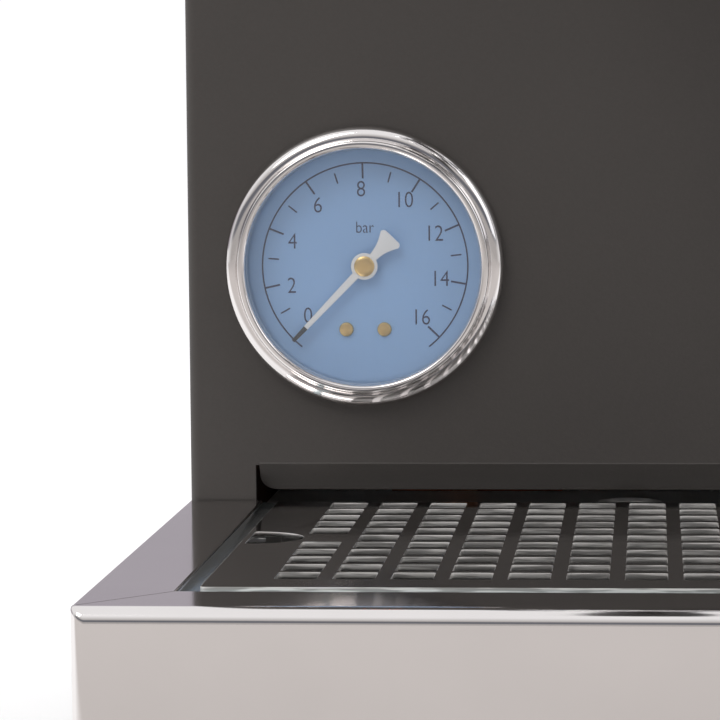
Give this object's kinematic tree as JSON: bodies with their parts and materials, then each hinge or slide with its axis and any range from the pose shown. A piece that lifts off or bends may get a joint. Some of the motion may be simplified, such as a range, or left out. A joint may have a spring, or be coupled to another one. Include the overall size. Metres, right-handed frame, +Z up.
{
  "type": "espresso machine",
  "caption": "Compact single-boiler espresso machine: dark housing, pressure gauge, polished drip tray with a slotted grate, portafilter and steam wand.",
  "frame": {"origin": "centre of the whole footprint, portafilter handle included, on the surface that the feet stand on", "axes": "+Z up, -Y towards the user at the front, +X to the user's right"},
  "size_m": [0.2074, 0.4486, 0.383],
  "materials": {
    "dark_coat": "satin powder coat with a fine grain",
    "mirror_steel": "mirror-polished stainless steel",
    "brushed_steel": "brushed stainless steel",
    "galvanised": "zinc-plated sheet",
    "chrome": "chromed brass",
    "brass": "machined brass",
    "dial_blue": "matt printed dial",
    "pointer_white": "white lacquer with a black tip",
    "clear_glass": "clear flat glass",
    "black_rubber": "matt moulded rubber",
    "black_plastic": "fine-grained moulded plastic",
    "rocker_plastic": "satin moulded plastic",
    "display_red": "tinted display window",
    "grip": "satin black turned grip",
    "boiler_brass": "cast and turned brass",
    "heater_steel": "drawn steel tube",
    "coil_plastic": "potted winding",
    "pump_plastic": "natural nylon",
    "tank_plastic": "smoked clear plastic",
    "silicone": "silicone hose",
    "copper": "drawn copper tube"
  },
  "bodies": {
    "machine": {"base_plate": "galvanised", "rubber_feet": "black_rubber", "front_panel": "dark_coat", "left_side_panel": "dark_coat", "right_side_panel": "dark_coat", "rear_panel": "dark_coat", "rear_screws": "galvanised", "mains_inlet": "black_plastic", "cup_shelf": "brushed_steel", "gauge_bezel": "mirror_steel", "gauge_case": "galvanised", "gauge_dial": "dial_blue", "gauge_glass": "clear_glass", "gauge_screws": "brass", "group_head": "chrome", "group_gasket": "black_rubber", "shower_screen": "brushed_steel", "steam_valve": "chrome", "switch_housings": "black_plastic", "display_frame": "black_plastic", "display_window": "display_red", "boiler": "boiler_brass", "boiler_lid": "boiler_brass", "heating_element": "heater_steel", "lid_bolts": "galvanised", "brew_valve": "brass", "discharge_pipe": "copper", "pump_coil": "coil_plastic", "pump_body": "pump_plastic", "pump_bracket": "galvanised", "tank_shelf": "galvanised", "tank_socket": "black_plastic", "suction_hose": "silicone", "pressure_pipe": "copper", "steam_feed_pipe": "copper", "gauge_pipe": "copper"},
    "drip_tray": {"tray_surround": "mirror_steel", "tray_pan": "brushed_steel"},
    "grate": {"drip_grate": "mirror_steel"},
    "pointer": {"gauge_pointer": "pointer_white", "gauge_spindle": "brass"},
    "portafilter": {"portafilter_body": "chrome", "portafilter_spout": "chrome", "filter_basket": "brushed_steel", "handle_ferrule": "chrome", "handle_grip": "grip"},
    "knob": {"steam_knob": "grip", "knob_cap": "chrome"},
    "steam_wand": {"swivel_ball": "chrome", "steam_pipe": "chrome", "steam_tip": "chrome", "wand_grip": "black_rubber"},
    "power_switch": {"power_rocker": "rocker_plastic"},
    "brew_switch": {"brew_rocker": "rocker_plastic"},
    "steam_switch": {"steam_rocker": "rocker_plastic"},
    "up_key": {"up_button": "rocker_plastic"},
    "down_key": {"down_button": "rocker_plastic"},
    "tank": {"water_tank": "tank_plastic", "tank_valve": "black_plastic"},
    "lid": {"tank_lid": "brushed_steel"}
  },
  "joints": [
    {"name": "tray_slide", "type": "slide", "parent": "machine", "child": "drip_tray", "axis": [0, -1, 0], "range_m": [0, 0.15]},
    {"name": "grate_lift", "type": "slide", "parent": "drip_tray", "child": "grate", "axis": [0, 0, 1], "range_m": [0, 0.018]},
    {"name": "pointer_turn", "type": "hinge", "parent": "machine", "child": "pointer", "pos_m": [-0.0634, -0.00767, 0.1331], "axis": [0, 1, 0], "range_deg": [0, 270], "stiffness_Nm_per_rad": 0.0005},
    {"name": "portafilter_turn", "type": "hinge", "parent": "machine", "child": "portafilter", "pos_m": [0, -0.06967, 0.254], "axis": [0, 0, -1], "range_deg": [0, 50]},
    {"name": "steam_knob_turn", "type": "hinge", "parent": "machine", "child": "knob", "pos_m": [0.074, -0.03767, 0.286], "axis": [0, -1, 0], "range_deg": [0, 270]},
    {"name": "wand_swing", "type": "hinge", "parent": "machine", "child": "steam_wand", "pos_m": [0.074, -0.02967, 0.26], "axis": [0, -1, 0], "range_deg": [-12, 45]},
    {"name": "power_rocker_tilt", "type": "hinge", "parent": "machine", "child": "power_switch", "pos_m": [-0.006, -0.00367, 0.338], "axis": [-1, 0, 0], "range_deg": [0, 16]},
    {"name": "brew_rocker_tilt", "type": "hinge", "parent": "machine", "child": "brew_switch", "pos_m": [0.024, -0.00367, 0.338], "axis": [-1, 0, 0], "range_deg": [0, 16]},
    {"name": "steam_rocker_tilt", "type": "hinge", "parent": "machine", "child": "steam_switch", "pos_m": [0.054, -0.00367, 0.338], "axis": [-1, 0, 0], "range_deg": [0, 16]},
    {"name": "up_key_press", "type": "slide", "parent": "machine", "child": "up_key", "axis": [0, 1, 0], "range_m": [0, 0.0012], "stiffness_N_per_m": 400},
    {"name": "down_key_press", "type": "slide", "parent": "machine", "child": "down_key", "axis": [0, 1, 0], "range_m": [0, 0.0012], "stiffness_N_per_m": 400},
    {"name": "tank_lift", "type": "slide", "parent": "machine", "child": "tank", "axis": [0, 0, 1], "range_m": [0, 0.24]},
    {"name": "lid_lift", "type": "slide", "parent": "tank", "child": "lid", "axis": [0, 0, 1], "range_m": [0, 0.06]}
  ]
}
